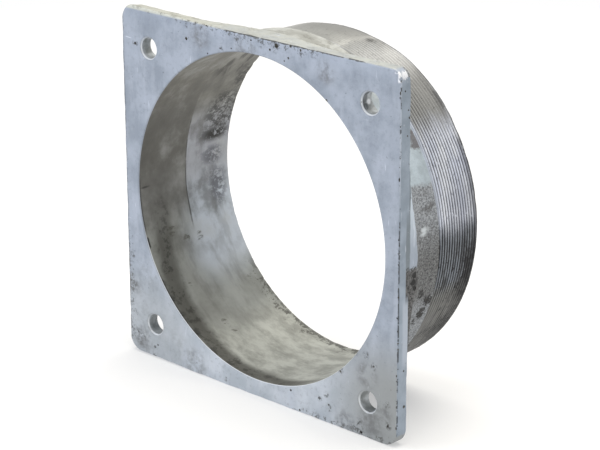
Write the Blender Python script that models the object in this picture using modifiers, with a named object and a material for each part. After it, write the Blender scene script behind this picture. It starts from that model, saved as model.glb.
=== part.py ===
"""Square duct flange: a one-piece casting with a threaded round spigot.

The mating face is the plane y = 0 and looks along -Y. The duct runs along +Y
from the centre of that face, and +Z is up. All sizes are in metres.
"""
from math import ceil, cos, pi, radians, sin

import bmesh
import bpy
from mathutils import Matrix, Vector

# Duct bore, which opens slightly towards the rear
BORE_DIAMETER = 0.1807
BORE_OPENING_OUT = 0.0028

# Walls and steps of the spigot, from the bore outwards
RIM_WALL = 0.0009
THREAD_WALL = 0.00325
THREAD_RELIEF_DEPTH = 0.0012
NECK_STEP = 0.0021

# Lengths along the duct, from the plate to the rim
PLATE_THICKNESS = 0.007
NECK_LENGTH = 0.0275
THREAD_RELIEF_WIDTH = 0.0009
THREAD_LENGTH = 0.0291
RIM_BEVEL_LENGTH = 0.0032
ROOT_FILLET = 0.016

# Right-hand thread, cut as a V groove that leaves a narrow flat on its crests
THREAD_PITCH = 0.002
THREAD_CREST_FLAT = 0.0003
THREAD_DEPTH = 0.00105

# Square plate
PLATE_MARGIN = 0.0029
PLATE_CORNER_RADIUS = 0.0075
FACE_EDGE_RADIUS = 0.0008

# Bolt holes, opened out at the mating face
BOLT_EDGE_DISTANCE = 0.02025
BOLT_HOLE_DIAMETER = 0.0115
COUNTERSINK = 0.0009

# How far a cutter runs past the faces that it cuts
OVERSHOOT = 0.004

# Places that follow from the sizes above
THREAD_RADIUS = (BORE_DIAMETER + BORE_OPENING_OUT) / 2 + THREAD_WALL
NECK_RADIUS = THREAD_RADIUS + NECK_STEP
RELIEF_RADIUS = THREAD_RADIUS - THREAD_RELIEF_DEPTH
PLATE_SIDE = 2 * (NECK_RADIUS + PLATE_MARGIN)
NECK_END = PLATE_THICKNESS + NECK_LENGTH
SHOULDER_END = NECK_END + NECK_RADIUS - RELIEF_RADIUS
THREAD_START = SHOULDER_END + THREAD_RELIEF_WIDTH
THREAD_END = THREAD_START + THREAD_LENGTH
SPIGOT_END = THREAD_END + RIM_BEVEL_LENGTH

TURNING_STEPS = 60
HOLE_STEPS = 28
FILLET_STEPS = 6
CORNER_STEPS = 6
EDGE_STEPS = 2
MERGE_DISTANCE = 0.00001

# Share of a turning step by which the thread's cutter is turned, so that its
# corners stay clear of the body's
COIL_OFFSET = 0.3

SHARP_ANGLE = radians(28)
ALONG_DUCT = (-pi / 2, 0, 0)


def clear_scene():
    for old in list(bpy.data.objects):
        bpy.data.objects.remove(old, do_unlink=True)


def new_collection(name):
    collection = bpy.data.collections.new(name)
    bpy.context.scene.collection.children.link(collection)
    return collection


def galvanised_iron():
    """Grey zinc coat over cast iron."""
    material = bpy.data.materials.new("galvanised_cast_iron")
    material.use_nodes = True
    shader = material.node_tree.nodes["Principled BSDF"]
    zinc_grey = (0.40, 0.44, 0.49, 1)
    shader.inputs["Base Color"].default_value = zinc_grey
    shader.inputs["Metallic"].default_value = 0.7
    shader.inputs["Roughness"].default_value = 0.5
    material.diffuse_color = zinc_grey
    return material


def turned(name, profile, steps, collection):
    """Turn a closed profile of (radius, depth) points about the duct's direction."""
    bm = bmesh.new()
    ring = [bm.verts.new((radius, 0, depth)) for radius, depth in profile]
    for start, end in zip(ring, ring[1:] + ring[:1]):
        bm.edges.new((start, end))
    mesh = bpy.data.meshes.new(name)
    bm.to_mesh(mesh)
    bm.free()
    part = bpy.data.objects.new(name, mesh)
    part.rotation_euler = ALONG_DUCT
    collection.objects.link(part)
    turn = part.modifiers.new("Turn", "SCREW")
    turn.steps = steps
    turn.render_steps = steps
    turn.use_merge_vertices = True
    turn.merge_threshold = MERGE_DISTANCE
    return part


def root_fillet_points():
    """The arc that blends the neck into the back of the plate."""
    centre_radius = NECK_RADIUS + ROOT_FILLET
    centre_depth = PLATE_THICKNESS + ROOT_FILLET
    angles = [pi + pi / 2 * step / FILLET_STEPS for step in range(FILLET_STEPS + 1)]
    return [
        (centre_radius + ROOT_FILLET * cos(angle), centre_depth + ROOT_FILLET * sin(angle))
        for angle in angles
    ]


def body_profile():
    """The outer side from the rim down to the plate, then back up the bore."""
    rear_bore_radius = (BORE_DIAMETER + BORE_OPENING_OUT) / 2
    slope = BORE_OPENING_OUT / 2 / SPIGOT_END
    front_bore_radius = BORE_DIAMETER / 2 - slope * OVERSHOOT
    disc_radius = PLATE_SIDE
    return [
        (rear_bore_radius, SPIGOT_END),
        (rear_bore_radius + RIM_WALL, SPIGOT_END),
        (THREAD_RADIUS, THREAD_END),
        (THREAD_RADIUS, THREAD_START),
        (RELIEF_RADIUS, THREAD_START - THREAD_RELIEF_WIDTH / 2),
        (RELIEF_RADIUS, SHOULDER_END),
        (NECK_RADIUS, NECK_END),
        *root_fillet_points(),
        (disc_radius, PLATE_THICKNESS),
        (disc_radius, -OVERSHOOT),
        (front_bore_radius, -OVERSHOOT),
    ]


def bevel(bm, edges, width, segments):
    bmesh.ops.bevel(
        bm, geom=edges, offset=width, segments=segments, profile=0.5, affect="EDGES", material=-1
    )


def outline_block(collection):
    """The square outline carried past the rim, with its front edges eased."""
    length = SPIGOT_END + OVERSHOOT
    bm = bmesh.new()
    bmesh.ops.create_cube(bm, size=1)
    bmesh.ops.scale(bm, vec=(PLATE_SIDE, length, PLATE_SIDE), verts=bm.verts)
    bmesh.ops.translate(bm, vec=(0, length / 2, 0), verts=bm.verts)
    corners = [edge for edge in bm.edges if edge.verts[0].co.y != edge.verts[1].co.y]
    bevel(bm, corners, PLATE_CORNER_RADIUS, CORNER_STEPS)
    front = [edge for edge in bm.edges if max(vert.co.y for vert in edge.verts) < OVERSHOOT]
    bevel(bm, front, FACE_EDGE_RADIUS, EDGE_STEPS)
    mesh = bpy.data.meshes.new("outline_block")
    bm.to_mesh(mesh)
    bm.free()
    block = bpy.data.objects.new("outline_block", mesh)
    collection.objects.link(block)
    return block


def bolt_drills(collection):
    """Four drills, each with a shallow countersink at the mating face."""
    radius = BOLT_HOLE_DIAMETER / 2
    reach = PLATE_THICKNESS + ROOT_FILLET
    profile = [
        (0, reach),
        (radius, reach),
        (radius, COUNTERSINK),
        (radius + COUNTERSINK + OVERSHOOT, -OVERSHOOT),
        (0, -OVERSHOOT),
    ]
    offset = PLATE_SIDE / 2 - BOLT_EDGE_DISTANCE
    drills = []
    for row, z in (("upper", offset), ("lower", -offset)):
        for side, x in (("left", -offset), ("right", offset)):
            drill = turned(f"drill_{row}_{side}", profile, HOLE_STEPS, collection)
            drill.location = (x, 0, z)
            drills.append(drill)
    return drills


def thread_groove(collection):
    """A V-shaped coil that runs from the relief groove out past the rim."""
    half_width = (THREAD_PITCH - THREAD_CREST_FLAT) / 2
    flare = half_width + THREAD_CREST_FLAT / 3
    floor_radius = THREAD_RADIUS - THREAD_DEPTH
    outer_radius = floor_radius + THREAD_DEPTH * flare / half_width
    start = SHOULDER_END + THREAD_RELIEF_WIDTH / 2
    turns = ceil((SPIGOT_END + OVERSHOOT / 2 - start) / THREAD_PITCH)
    lead_in = Matrix.Rotation(COIL_OFFSET * 2 * pi / TURNING_STEPS, 3, "Y")
    bm = bmesh.new()
    corners = [
        bm.verts.new(lead_in @ Vector(point))
        for point in (
            (floor_radius, start, 0),
            (outer_radius, start + flare, 0),
            (outer_radius, start - flare, 0),
        )
    ]
    first = bm.faces.new(corners)
    bmesh.ops.duplicate(bm, geom=[first])
    bmesh.ops.spin(
        bm,
        geom=[*corners, *first.edges, first],
        cent=(0, 0, 0),
        axis=(0, 1, 0),
        dvec=(0, THREAD_PITCH / TURNING_STEPS, 0),
        angle=turns * 2 * pi,
        steps=turns * TURNING_STEPS,
    )
    bmesh.ops.remove_doubles(bm, verts=bm.verts, dist=MERGE_DISTANCE)
    bmesh.ops.recalc_face_normals(bm, faces=bm.faces)
    mesh = bpy.data.meshes.new("thread_groove")
    bm.to_mesh(mesh)
    bm.free()
    groove = bpy.data.objects.new("thread_groove", mesh)
    collection.objects.link(groove)
    return groove


def boolean(part, operation, tool):
    step = part.modifiers.new(tool.name, "BOOLEAN")
    step.operation = operation
    step.solver = "EXACT"
    step.object = tool
    tool.hide_render = True
    tool.display_type = "WIRE"


def bake_smooth(part):
    """Keep the finished shape as a mesh, so that its sharp edges can be set."""
    graph = bpy.context.evaluated_depsgraph_get()
    mesh = bpy.data.meshes.new_from_object(part.evaluated_get(graph))
    mesh.name = part.name
    mesh.shade_smooth()
    mesh.set_sharp_from_angle(angle=SHARP_ANGLE)
    part.modifiers.clear()
    part.data = mesh


def build_flange():
    clear_scene()
    parts = new_collection("square_duct_flange")
    cutters = new_collection("cutters")
    flange = turned("duct_flange", body_profile(), TURNING_STEPS, parts)
    flange.data.materials.append(galvanised_iron())
    boolean(flange, "DIFFERENCE", thread_groove(cutters))
    boolean(flange, "INTERSECT", outline_block(cutters))
    for drill in bolt_drills(cutters):
        boolean(flange, "DIFFERENCE", drill)
    bake_smooth(flange)


build_flange()
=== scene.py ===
# %% [markdown]
# # A galvanised square duct flange
#
# This part joins a round duct to a flat wall or fan box. It is one iron casting:
# a square plate with four bolt holes, a wide bore, and a round spigot behind the
# plate. The spigot has a rough cast neck and then a fine thread that a collar
# screws onto. The whole casting was dipped in zinc, and it has since been stained
# and knocked about a little.
#
# The packed solid gives the frame. Its mating face is the plane y = 0 and looks
# along -Y, the duct runs along +Y, and +Z is up. One metre is one Blender unit.
# The solid's box is kept.

# %% Load the frame
from math import atan2, ceil, cos, degrees, pi, radians, sin
from random import Random

import bmesh
import bpy
from mathutils import Euler, Matrix, Vector, noise


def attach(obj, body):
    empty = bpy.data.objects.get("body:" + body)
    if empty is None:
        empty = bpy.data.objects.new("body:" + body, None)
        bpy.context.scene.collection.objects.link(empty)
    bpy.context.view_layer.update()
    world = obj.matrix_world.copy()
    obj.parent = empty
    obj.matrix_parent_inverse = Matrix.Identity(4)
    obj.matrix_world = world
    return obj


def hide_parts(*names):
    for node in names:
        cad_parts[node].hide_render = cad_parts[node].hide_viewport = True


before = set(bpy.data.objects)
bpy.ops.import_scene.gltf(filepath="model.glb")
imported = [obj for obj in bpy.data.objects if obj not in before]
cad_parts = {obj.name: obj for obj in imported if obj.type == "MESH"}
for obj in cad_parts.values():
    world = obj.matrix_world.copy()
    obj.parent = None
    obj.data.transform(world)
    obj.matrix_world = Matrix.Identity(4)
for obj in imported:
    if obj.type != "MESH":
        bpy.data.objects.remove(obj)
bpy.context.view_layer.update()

# %% [markdown]
# ## Sizes
#
# The casting is turned and drilled like the real one, so a few radii and depths
# drive everything. The bore opens slightly towards the rear, which lets the sand
# core or a tool draw out. The neck is a little larger than the thread behind it,
# because only the thread was machined.

# %% Name the sizes
bore_front_radius = 0.09035
bore_rear_radius = 0.09175
bore_chamfer = 0.0005
rim_wall = 0.0009
thread_radius = 0.095
relief_radius = 0.0943
relief_width = 0.0009
neck_radius = 0.0971

plate_thickness = 0.007
neck_end = 0.0345
shoulder_end = neck_end + neck_radius - relief_radius
thread_start = shoulder_end + relief_width
thread_length = 0.0291
thread_end = thread_start + thread_length
rim_bevel = 0.0032
rim_depth = thread_end + rim_bevel
root_fillet = 0.016

plate_side = 0.2
corner_radii = {(-1, 1): 0.0088, (1, 1): 0.0066, (-1, -1): 0.0085, (1, -1): 0.0095}
face_edge_radius = 0.0009
bolt_offset = 0.07975
bolt_hole_radius = 0.00575
countersink = 0.0009

overshoot = 0.004
print("depth from the mating face to the rim:", round(rim_depth, 4))

# %% [markdown]
# ## Camera
#
# The casting is seen from the upper right, from far enough away that its edges
# stay nearly parallel. The camera is placed by two angles and a distance from a
# point inside the bore, which is how a photographer would move round it.

# %% Place the camera
camera_turn = radians(43.386)
camera_rise = radians(18.922)
camera_roll = radians(0.135)
camera_distance = 1.17245
aim_point = Vector((0.00395, 0.030, -0.00864))

camera_data = bpy.data.cameras.new("camera")
camera_data.lens = 131.27
camera_data.sensor_width = 36
camera = bpy.data.objects.new("camera", camera_data)
bpy.context.scene.collection.objects.link(camera)
upright = Euler((pi / 2 - camera_rise, 0, camera_turn)).to_matrix().to_4x4()
camera.matrix_world = (
    Matrix.Translation(aim_point)
    @ upright
    @ Matrix.Rotation(-camera_roll, 4, "Z")
    @ Matrix.Translation((0, 0, camera_distance))
)
bpy.context.scene.camera = camera
print("camera stands at:", [round(value, 3) for value in camera.matrix_world.translation])

# %% [markdown]
# ## Studio
#
# The casting stands on a white floor under a large soft light, as in a small
# product studio. Zinc shows what surrounds it, so the light comes from big pale
# areas: one overhead, one from the front left, and a pale sky that fills the rest.
# The paper glows a little, as on a light table, which keeps its shadows faint, and
# the standard view keeps white paper white.

# %% Write the studio helpers
scene = bpy.context.scene
scene.view_settings.view_transform = "Standard"


def shade(red, green, blue):
    """A colour given as it looks on a screen, from 0 to 255."""
    linear = []
    for value in (red, green, blue):
        value = value / 255
        linear.append(value / 12.92 if value <= 0.04045 else ((value + 0.055) / 1.055) ** 2.4)
    return (*linear, 1)


def soft_light(name, place, aim, width, power, colour):
    """A square area light that looks at a point."""
    data = bpy.data.lights.new(name, "AREA")
    data.shape = "SQUARE"
    data.size = width
    data.energy = power
    data.color = colour[:3]
    light = bpy.data.objects.new(name, data)
    light.location = place
    light.rotation_euler = (Vector(aim) - Vector(place)).to_track_quat("-Z", "Y").to_euler()
    scene.collection.objects.link(light)
    return light


print("middle grey as light:", round(shade(128, 128, 128)[0], 3))

# %% Lay the paper floor
paper_radius = 0.95
paper_glow = 0.37
floor_mesh = bpy.data.meshes.new("studio_floor")
floor_bm = bmesh.new()
bmesh.ops.create_circle(floor_bm, cap_ends=True, segments=96, radius=paper_radius)
bmesh.ops.translate(floor_bm, vec=(0, 0, -plate_side / 2), verts=floor_bm.verts)
floor_bm.to_mesh(floor_mesh)
floor_bm.free()
floor = bpy.data.objects.new("studio_floor", floor_mesh)
scene.collection.objects.link(floor)
floor_paper = bpy.data.materials.new("white_paper")
floor_paper.use_nodes = True
paper_shader = floor_paper.node_tree.nodes["Principled BSDF"]
paper_shader.inputs["Base Color"].default_value = (0.60, 0.60, 0.60, 1)
paper_shader.inputs["Emission Color"].default_value = (1, 1, 1, 1)
paper_shader.inputs["Emission Strength"].default_value = paper_glow
paper_shader.inputs["Roughness"].default_value = 0.9
paper_shader.inputs["Specular IOR Level"].default_value = 0.1
floor_mesh.materials.append(floor_paper)
print("floor faces:", len(floor_mesh.polygons), "radius:", paper_radius)

# %% Set the sky and the lights
sky = bpy.data.worlds.new("studio_sky")
scene.world = sky
sky.use_nodes = True
sky_light = sky.node_tree.nodes["Background"]
sky_light.inputs["Color"].default_value = (1, 1, 1, 1)
paper_brightness = 1.0
fill_brightness = 0.6
seen_directly = sky.node_tree.nodes.new("ShaderNodeLightPath").outputs["Is Camera Ray"]
sky_strength = sky.node_tree.nodes.new("ShaderNodeMapRange")
sky_strength.inputs["To Min"].default_value = fill_brightness
sky_strength.inputs["To Max"].default_value = paper_brightness
sky.node_tree.links.new(seen_directly, sky_strength.inputs["Value"])
sky.node_tree.links.new(sky_strength.outputs["Result"], sky_light.inputs["Strength"])

soft_light("overhead", (0.1, 0.2, 1.5), (0, 0, 0), 1.2, 22, shade(255, 250, 240))
soft_light("front_left", (-1.1, -1.3, 0.6), (0, 0, 0), 1.0, 12, shade(236, 243, 255))

# %% [markdown]
# ## Turn the casting
#
# A turned part is one profile carried round an axis. The profile starts as a few
# corner points, and its edges are then subdivided into rows, so that the rough
# skin has points to move. The threaded band is the exception: it stays one long
# face per step, because the thread is cut into it next. The plate starts as an
# oversize disc that is trimmed square afterwards.

# %% Write the turning helpers
turning_steps = 360
row_length = 0.0014


def root_fillet_points(steps=5):
    """The arc that blends the neck into the back of the plate."""
    centre_radius = neck_radius + root_fillet
    centre_depth = plate_thickness + root_fillet
    angles = [pi + pi / 2 * step / steps for step in range(steps + 1)]
    return [
        (centre_radius + root_fillet * cos(angle), centre_depth + root_fillet * sin(angle))
        for angle in angles
    ]


def turn(name, profile, steps, plain_edges=()):
    """Carry a closed profile of (radius, depth) points round the duct's direction."""
    bm = bmesh.new()
    corners = [bm.verts.new((radius, depth, 0)) for radius, depth in profile]
    edges = [bm.edges.new(pair) for pair in zip(corners, corners[1:] + corners[:1])]
    for place, edge in enumerate(edges):
        rows = ceil(edge.calc_length() / row_length)
        if rows > 1 and place not in plain_edges:
            bmesh.ops.subdivide_edges(bm, edges=[edge], cuts=rows - 1)
    bmesh.ops.spin(
        bm,
        geom=bm.verts[:] + bm.edges[:],
        cent=(0, 0, 0),
        axis=(0, 1, 0),
        angle=pi / 2,
        steps=steps // 4,
    )
    quarter = bm.verts[:] + bm.edges[:] + bm.faces[:]
    for quarters in (1, 2, 3):
        copied = bmesh.ops.duplicate(bm, geom=quarter)["geom"]
        bmesh.ops.rotate(
            bm,
            verts=[part for part in copied if isinstance(part, bmesh.types.BMVert)],
            cent=(0, 0, 0),
            matrix=Matrix.Rotation(quarters * pi / 2, 3, "Y"),
        )
    bmesh.ops.remove_doubles(bm, verts=bm.verts, dist=0.000002)
    bmesh.ops.recalc_face_normals(bm, faces=bm.faces)
    return keep_as_object(name, bm)


def keep_as_object(name, bm):
    """Turn a bmesh into an object in the scene."""
    mesh = bpy.data.meshes.new(name)
    bm.to_mesh(mesh)
    bm.free()
    thing = bpy.data.objects.new(name, mesh)
    scene.collection.objects.link(thing)
    return thing


print("points in the root fillet:", len(root_fillet_points()))

# %% Turn the profile about the duct
disc_to_side = 0.74
disc_radius = plate_side * disc_to_side
casting_profile = [
    (bore_rear_radius, rim_depth),
    (bore_rear_radius + rim_wall, rim_depth),
    (thread_radius, thread_end),
    (thread_radius, thread_start),
    (relief_radius, thread_start - relief_width / 2),
    (relief_radius, shoulder_end),
    (neck_radius, neck_end),
    *root_fillet_points(),
    (disc_radius, plate_thickness),
    (disc_radius, -overshoot),
    (bore_front_radius + bore_chamfer + overshoot, -overshoot),
    (bore_front_radius, bore_chamfer),
]
threaded_band = 2
oversize_disc = [len(casting_profile) - places for places in (4, 3, 2)]
plain_edges = (threaded_band, *oversize_disc)
casting = turn("flange_casting", casting_profile, turning_steps, plain_edges)
print("turned faces:", len(casting.data.polygons))

# %% [markdown]
# ## Trim the plate square
#
# The plate's outline is a square block with rounded corners. Its front edges are
# eased, as the casting's are after dipping. The block is then sliced into a grid
# of small faces, because it gives the casting its mating face and its four sides,
# and those get dents and waves later. The turned shape keeps only what lies
# inside the block.

# %% Make the outline block
grid_gap = 0.0022
first_slice = 0.002
last_slice = 0.024
slice_gap = grid_gap * 0.8
corner_margin = 0.0005
corner_segments = 10
face_edge_segments = 4
at_corner = plate_side / 2 - 0.0001


def bevel(bm, edges, width, segments):
    """Round some edges to a radius."""
    bmesh.ops.bevel(
        bm, geom=edges, offset=width, segments=segments, profile=0.5, affect="EDGES", material=-1
    )


def slice_evenly(bm, direction, first, last, gap):
    """Cut a mesh by parallel planes, so that its large faces become small ones."""
    count = round((last - first) / gap)
    for step in range(count + 1):
        place = first + (last - first) * step / count
        bmesh.ops.bisect_plane(
            bm,
            geom=bm.verts[:] + bm.edges[:] + bm.faces[:],
            plane_co=Vector(direction) * place,
            plane_no=direction,
        )


block_length = rim_depth + overshoot
block_bm = bmesh.new()
bmesh.ops.create_cube(block_bm, size=1)
bmesh.ops.scale(block_bm, vec=(plate_side, block_length, plate_side), verts=block_bm.verts)
bmesh.ops.translate(block_bm, vec=(0, block_length / 2, 0), verts=block_bm.verts)
for (side, height), radius in corner_radii.items():
    corner = [
        edge
        for edge in block_bm.edges
        if all(min(vert.co.x * side, vert.co.z * height) > at_corner for vert in edge.verts)
    ]
    bevel(block_bm, corner, radius, corner_segments)
front_edges = [edge for edge in block_bm.edges if max(vert.co.y for vert in edge.verts) < overshoot]
bevel(block_bm, front_edges, face_edge_radius, face_edge_segments)
straight = plate_side / 2 - max(corner_radii.values()) - corner_margin
slice_evenly(block_bm, (0, 1, 0), first_slice, last_slice, slice_gap)
slice_evenly(block_bm, (1, 0, 0), -straight, straight, grid_gap)
slice_evenly(block_bm, (0, 0, 1), -straight, straight, grid_gap)
outline_block = keep_as_object("outline_block", block_bm)
print("outline block faces:", len(outline_block.data.polygons))

# %% [markdown]
# ## Cut the thread
#
# A lathe cuts a thread by drawing a V-shaped tool along the turning work. Here the
# tool's path is the cutter: a small triangle is spun round the duct and moves one
# pitch along it with every turn, which makes a coil. Taking the coil away leaves
# a real right-hand helix, and not a stack of rings. The coil starts in the relief
# groove and runs out past the rim, as the tool does.

# %% Wind the coil that cuts the thread
thread_pitch = 0.002
crest_flat = 0.00042
thread_depth = 0.00112
coil_offset = 0.3

half_width = (thread_pitch - crest_flat) / 2
flare = half_width + crest_flat / 3
groove_radius = thread_radius - thread_depth
outer_radius = groove_radius + thread_depth * flare / half_width
coil_start = shoulder_end + relief_width / 2
turns = ceil((rim_depth + overshoot / 2 - coil_start) / thread_pitch)
lead_in = Matrix.Rotation(coil_offset * 2 * pi / turning_steps, 3, "Y")

coil_bm = bmesh.new()
tool_tip = [
    coil_bm.verts.new(lead_in @ Vector(point))
    for point in (
        (groove_radius, coil_start, 0),
        (outer_radius, coil_start + flare, 0),
        (outer_radius, coil_start - flare, 0),
    )
]
tip_outline = [coil_bm.edges.new(pair) for pair in zip(tool_tip, tool_tip[1:] + tool_tip[:1])]
bmesh.ops.spin(
    coil_bm,
    geom=tool_tip + tip_outline,
    cent=(0, 0, 0),
    axis=(0, 1, 0),
    dvec=(0, thread_pitch / turning_steps, 0),
    angle=2 * pi,
    steps=turning_steps,
)
one_turn = coil_bm.verts[:] + coil_bm.edges[:] + coil_bm.faces[:]
for later_turn in range(1, turns):
    copied = bmesh.ops.duplicate(coil_bm, geom=one_turn)["geom"]
    bmesh.ops.translate(
        coil_bm,
        vec=(0, later_turn * thread_pitch, 0),
        verts=[part for part in copied if isinstance(part, bmesh.types.BMVert)],
    )
bmesh.ops.remove_doubles(coil_bm, verts=coil_bm.verts, dist=0.000005)
open_ends = [edge for edge in coil_bm.edges if edge.is_boundary]
bmesh.ops.holes_fill(coil_bm, edges=open_ends, sides=3)
bmesh.ops.recalc_face_normals(coil_bm, faces=coil_bm.faces)
thread_coil = keep_as_object("thread_coil", coil_bm)
print("thread turns:", turns, "coil faces:", len(thread_coil.data.polygons))

# %% [markdown]
# ## Drill the bolt holes
#
# Each corner has a drilled hole, opened out a little at the mating face, which
# takes off the burr. The drills are long enough to cut into the round root behind
# the plate, because that is what a real drill would do there.

# %% Make the four drills
drill_reach = plate_thickness + root_fillet
drill_steps = 48
drills_bm = bmesh.new()
for x in (-bolt_offset, bolt_offset):
    for z in (-bolt_offset, bolt_offset):
        tool_profile = [
            drills_bm.verts.new((x + radius, depth, z))
            for radius, depth in (
                (0, drill_reach),
                (bolt_hole_radius, drill_reach),
                (bolt_hole_radius, countersink),
                (bolt_hole_radius + countersink + overshoot, -overshoot),
                (0, -overshoot),
            )
        ]
        outline = [drills_bm.edges.new(pair) for pair in zip(tool_profile, tool_profile[1:])]
        bmesh.ops.spin(
            drills_bm,
            geom=tool_profile + outline,
            cent=(x, 0, z),
            axis=(0, 1, 0),
            angle=2 * pi,
            steps=drill_steps,
            use_merge=True,
        )
bmesh.ops.remove_doubles(drills_bm, verts=drills_bm.verts, dist=0.000001)
bmesh.ops.recalc_face_normals(drills_bm, faces=drills_bm.faces)
bolt_drills = keep_as_object("bolt_drills", drills_bm)
print("drill faces:", len(bolt_drills.data.polygons))

# %% [markdown]
# ## Cut, trim and drill
#
# The three tools could be left as live modifiers, but the wear that comes next
# has to move the finished points. So each Boolean is applied in turn, the thread
# first, and the tools are cleared away. The exact solver is slower than the fast
# one and leaves a closed mesh, which a thread with thousands of small faces needs.

# %% Cut, trim and drill the casting
sharp_angle = radians(28)


def shape_with(work, tools):
    """Apply Boolean tools in turn, keep the result as the mesh, and clear the tools away."""
    for tool, operation in tools:
        cut = work.modifiers.new(tool.name, "BOOLEAN")
        cut.operation = operation
        cut.solver = "EXACT"
        cut.material_mode = "TRANSFER"
        cut.object = tool
    graph = bpy.context.evaluated_depsgraph_get()
    shaped = bpy.data.meshes.new_from_object(work.evaluated_get(graph))
    work.modifiers.clear()
    work.data = shaped
    for tool, _ in tools:
        bpy.data.objects.remove(tool)


shape_with(
    casting,
    [(thread_coil, "DIFFERENCE"), (outline_block, "INTERSECT"), (bolt_drills, "DIFFERENCE")],
)
casting.data.shade_smooth()
casting.data.set_sharp_from_angle(angle=sharp_angle)
print("casting faces:", len(casting.data.polygons), "vertices:", len(casting.data.vertices))

# %% [markdown]
# ## Wear and the cast skin
#
# No casting is as true as its drawing. The plate is slightly wavy from the mould,
# the neck keeps the grainy skin of the sand, the thread is worn and partly filled
# with zinc, and the thin rim has been knocked. Each of these moves the points by a
# small amount that smooth noise gives, so neighbouring points move together and
# the surface stays closed. The amounts are tenths of a millimetre, apart from the
# plate's upper left edge, which stands about two millimetres high, and the rim,
# which is a little out of round.

# %% Describe where a point is


def smooth_step(low, high, value):
    """0 below low, 1 above high, and an even curve between them."""
    share = min(1, max(0, (value - low) / (high - low)))
    return share * share * (3 - 2 * share)


def between(value, low, high, soft):
    """1 inside a range, falling to 0 over a soft margin outside it."""
    return smooth_step(low - soft, low, value) * (1 - smooth_step(high, high + soft, value))


def turned_place(point):
    """The radius, depth and angle of a point, with the angle up from +X in degrees."""
    return (point.xz.length, point.y, degrees(atan2(point.z, point.x)))


def bore_radius_at(depth):
    """The bore's radius, which grows evenly towards the rim."""
    return bore_front_radius + (bore_rear_radius - bore_front_radius) * depth / rim_depth


def waves(point, size, octaves=2, seed=0.0):
    """Smooth noise from about -1 to 1, whose hills are about size apart."""
    return noise.fractal(point / size + Vector((seed, 0, 0)), 1, 2, octaves)


print("bore radius half way:", round(bore_radius_at(rim_depth / 2), 5))

# %% Name the wear
plate_wave = 0.00010
edge_wave = 0.00022
bore_wave = 0.00016
core_step = 0.00035
skin_grain = 0.00022
crest_wear = 0.00010
rim_knock = 0.00045
rim_dent = 0.0009
rim_swell = 0.0006
upper_left_lift = 0.0010
upper_left_front_lift = 0.0011
lower_left_lift = 0.0007
left_side_swell = 0.0006
low_thread_wear = 0.6
top_thread_fill = 0.62
patchy_thread_wear = 0.25
band_margin = 0.0004


def neck_share(radius, depth):
    """How much of the rough cast skin a point has: all on the neck, none on the plate's face."""
    outside = smooth_step(bore_radius_at(depth) + 0.0012, bore_radius_at(depth) + 0.002, radius)
    return outside * between(depth, 0.0075, neck_end - 0.0005, 0.0008)


def thread_kept(point, angle):
    """How much of the thread's height is left at an angle."""
    worn_low = between(angle, -62, -24, 10)
    filled_top = between(angle, 80, 106, 9)
    patchy = smooth_step(-0.1, 0.5, waves(point, 0.03, seed=5))
    return (
        1 - low_thread_wear * worn_low - top_thread_fill * filled_top - patchy_thread_wear * patchy
    )


crest_at_right = Vector((thread_radius, thread_end, 0))
print("share of the thread left at the right:", round(thread_kept(crest_at_right, 0), 2))

# %% Say where a worn point lies


def worn_place(point, normal):
    """Where a point of the turned shape lies after casting and years of use."""
    radius, depth, angle = turned_place(point)
    moved = point.copy()
    out = Vector((point.x, 0, point.z)).normalized()
    side_gap = plate_side / 2 - max(abs(point.x), abs(point.z))
    on_bore = radius < bore_radius_at(depth) + 0.0003
    if on_bore:
        stretched = Vector((point.x, point.y * 2.2, point.z))
        ease = smooth_step(0, 0.004, depth) * (1 - smooth_step(rim_depth - 0.003, rim_depth, depth))
        moved += normal * bore_wave * waves(stretched, 0.02, seed=2) * ease
        step_share = smooth_step(-0.028, -0.008, point.z) * (1 - smooth_step(0.036, 0.055, point.z))
        moved += out * core_step * step_share * between(depth, 0.0372, 0.050, 0.0012)
    elif depth > thread_start - band_margin:
        middle = thread_radius - thread_depth / 2
        if depth < thread_end + 0.001:
            kept = thread_kept(point, angle)
            moved -= out * (radius - middle) * (1 - kept)
        moved += out * crest_wear * waves(point, 0.004, seed=8)
    elif depth > plate_thickness + band_margin:
        grain = waves(point, 0.0035, 3, seed=3) + 0.6 * min(0, waves(point, 0.0016, seed=4) + 0.1)
        moved += normal * skin_grain * grain * neck_share(radius, depth)
    else:
        near_side = 1 - smooth_step(0.0004, 0.0022, side_gap)
        moved += normal * plate_wave * waves(point, 0.028, seed=1)
        moved += normal * edge_wave * near_side * (waves(point, 0.009, 3, seed=6) - 0.25)
        leftward = smooth_step(0.02, 0.1, -point.x)
        frontward = 1 - smooth_step(0.0005, 0.0065, depth)
        lift = upper_left_lift + upper_left_front_lift * frontward
        moved.z += lift * leftward * smooth_step(0.084, 0.1, point.z)
        moved.z += lower_left_lift * leftward * smooth_step(0.084, 0.1, -point.z)
        moved.x -= left_side_swell * smooth_step(0.086, 0.1, -point.x)
    rim_share = smooth_step(rim_depth - 0.0022, rim_depth, depth)
    knocked = max(0, waves(point, 0.006, 2, seed=9) - 0.12)
    moved.y -= rim_knock * rim_share * knocked * 2.5
    near_rim = smooth_step(0.045, rim_depth, depth)
    moved -= out * rim_dent * near_rim * between(angle, 78, 95, 14)
    moved += out * rim_swell * near_rim * between(angle, 42, 58, 12)
    return moved


upper_left = worn_place(Vector((-0.09, 0, 0.0999)), Vector((0, -1, 0)))
print("a point on the upper left edge moves to:", [round(value, 4) for value in upper_left])

# %% Move the points
casting.data.update()
resting = [(vertex.co.copy(), vertex.normal.copy()) for vertex in casting.data.vertices]
shift = 0
for vertex, (point, normal) in zip(casting.data.vertices, resting):
    vertex.co = worn_place(point, normal)
    shift = max(shift, (vertex.co - point).length)
casting.data.update()
print("largest move in mm:", round(shift * 1000, 3))

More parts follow.
